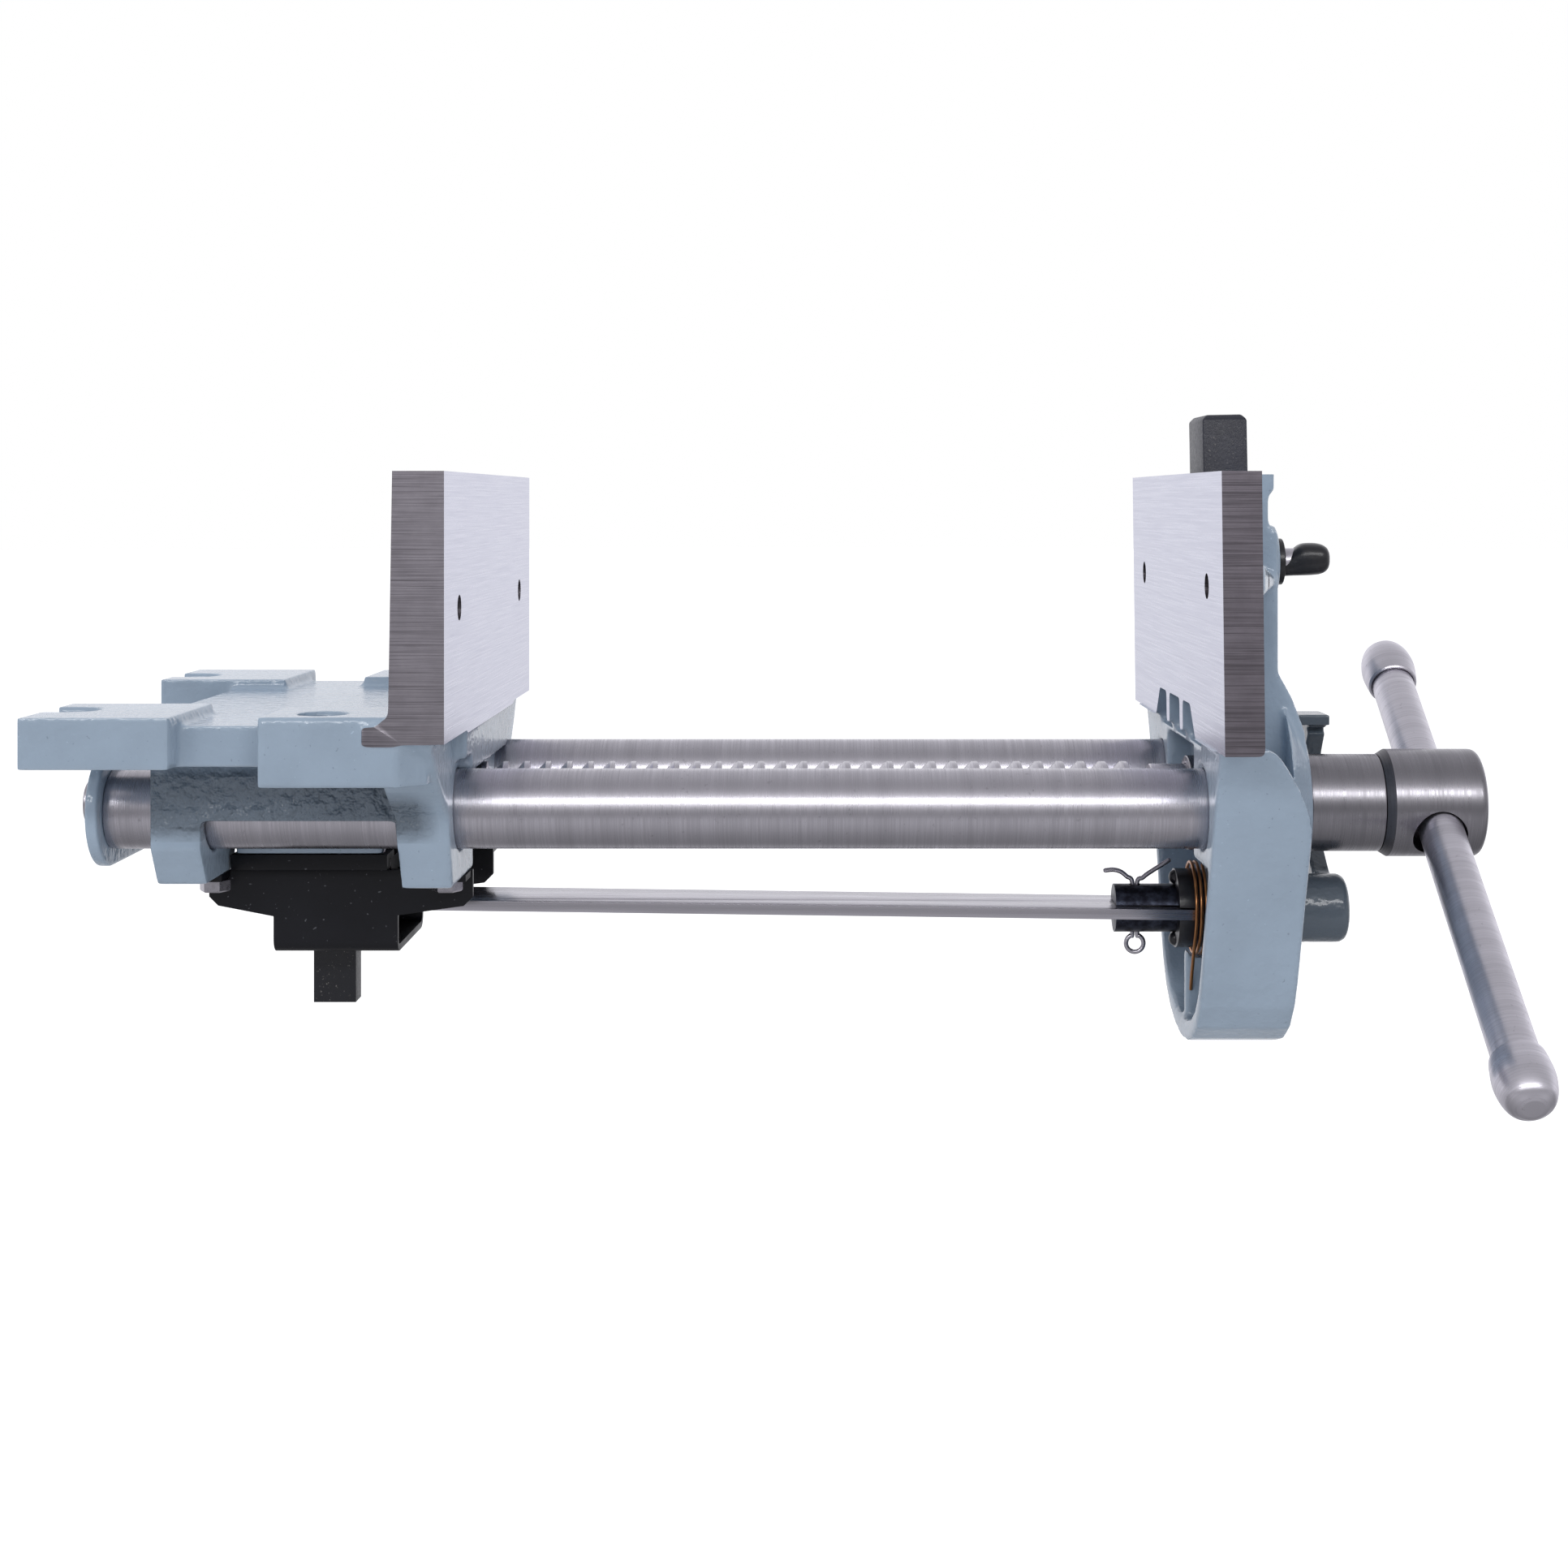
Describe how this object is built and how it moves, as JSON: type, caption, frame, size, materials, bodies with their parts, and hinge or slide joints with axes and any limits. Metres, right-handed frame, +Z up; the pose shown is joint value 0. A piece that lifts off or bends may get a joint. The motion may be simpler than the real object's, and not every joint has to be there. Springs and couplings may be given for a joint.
{
  "type": "quick-release woodworking bench vise",
  "caption": "Woodworking bench vise with cast jaws, a buttress screw between two guide rods, a sliding tommy bar, a quick-release trigger and a raised dog.",
  "frame": {"origin": "on the rear jaw's clamping face, mid-width, level with the underside of the bench top", "axes": "+X along the screw from the rear jaw towards the handle, +Y across the jaws, +Z up"},
  "size_m": [0.4136, 0.1947, 0.1849],
  "materials": {
    "cast_paint": "blue-grey gloss enamel on iron castings",
    "turned_steel": "bright turned steel",
    "strip_steel": "smooth rolled steel",
    "black_sheet": "satin black on sheet steel",
    "black_cast": "black oxidised casting",
    "black_turned": "black finish on turned steel",
    "copper_wire": "coppery coated spring wire",
    "zinc": "plated fasteners and wire",
    "black_knob": "satin black moulding"
  },
  "bodies": {
    "rear": {"rear_jaw": "cast_paint", "half_nut_guard": "black_sheet", "guard_screws": "zinc", "nut_guide": "black_sheet", "guide_screws": "zinc", "nut_springs": "zinc"},
    "nut": {"half_nut": "black_cast"},
    "carriage": {"front_jaw": "cast_paint", "near_guide_rod": "turned_steel", "far_guide_rod": "turned_steel", "tie_plate": "cast_paint", "release_spring": "copper_wire", "thrust_washer": "turned_steel"},
    "screw": {"main_screw": "turned_steel", "screw_sleeve": "turned_steel", "screw_head": "turned_steel", "head_pin": "zinc", "retaining_collar": "turned_steel", "collar_pin": "zinc"},
    "tommy": {"tommy_bar": "turned_steel", "upper_knob": "turned_steel", "lower_knob": "turned_steel"},
    "release": {"trigger_lever": "cast_paint", "lever_pin": "zinc", "release_shaft": "black_turned", "spring_collar": "black_turned", "release_strip": "strip_steel", "cotter_pin": "zinc"},
    "dog": {"bench_dog": "black_cast"},
    "thumb": {"dog_screw": "zinc", "wing_knob": "black_knob"}
  },
  "joints": [
    {"name": "screw_turn", "type": "hinge", "parent": "carriage", "child": "screw", "pos_m": [0.2027, 0, -0.0333], "axis": [1, 0, 0], "range_deg": [-11474, 566]},
    {"name": "jaw_slide", "type": "slide", "parent": "rear", "child": "carriage", "axis": [1, 0, 0], "range_m": [-0.2024, 0.01]},
    {"name": "tommy_slide", "type": "slide", "parent": "screw", "child": "tommy", "axis": [0, 0.8396, 0.5432], "range_m": [-0.0394, 0.088]},
    {"name": "release_turn", "type": "hinge", "parent": "carriage", "child": "release", "pos_m": [0.2027, 0, -0.0647], "axis": [1, 0, 0], "range_deg": [0, 13], "stiffness_Nm_per_rad": 0.35, "springref_deg": -11.46},
    {"name": "nut_drop", "type": "slide", "parent": "rear", "child": "nut", "axis": [0, 0, -1], "range_m": [0, 0.00284], "deforming": ["nut_springs"]},
    {"name": "dog_slide", "type": "slide", "parent": "carriage", "child": "dog", "axis": [-0.0192, 0, 0.9998], "range_m": [-0.0174, 0.02]},
    {"name": "thumb_turn", "type": "hinge", "parent": "carriage", "child": "thumb", "pos_m": [0.2334, 0, 0.0385], "axis": [1, 0, 0], "range_deg": [-80, 180]}
  ],
  "couplings": [
    {"joint": "jaw_slide", "follows": "screw_turn", "m_per_rad": 0.0010106},
    {"joint": "nut_drop", "follows": "release_turn", "m_per_rad": 0.0125}
  ]
}
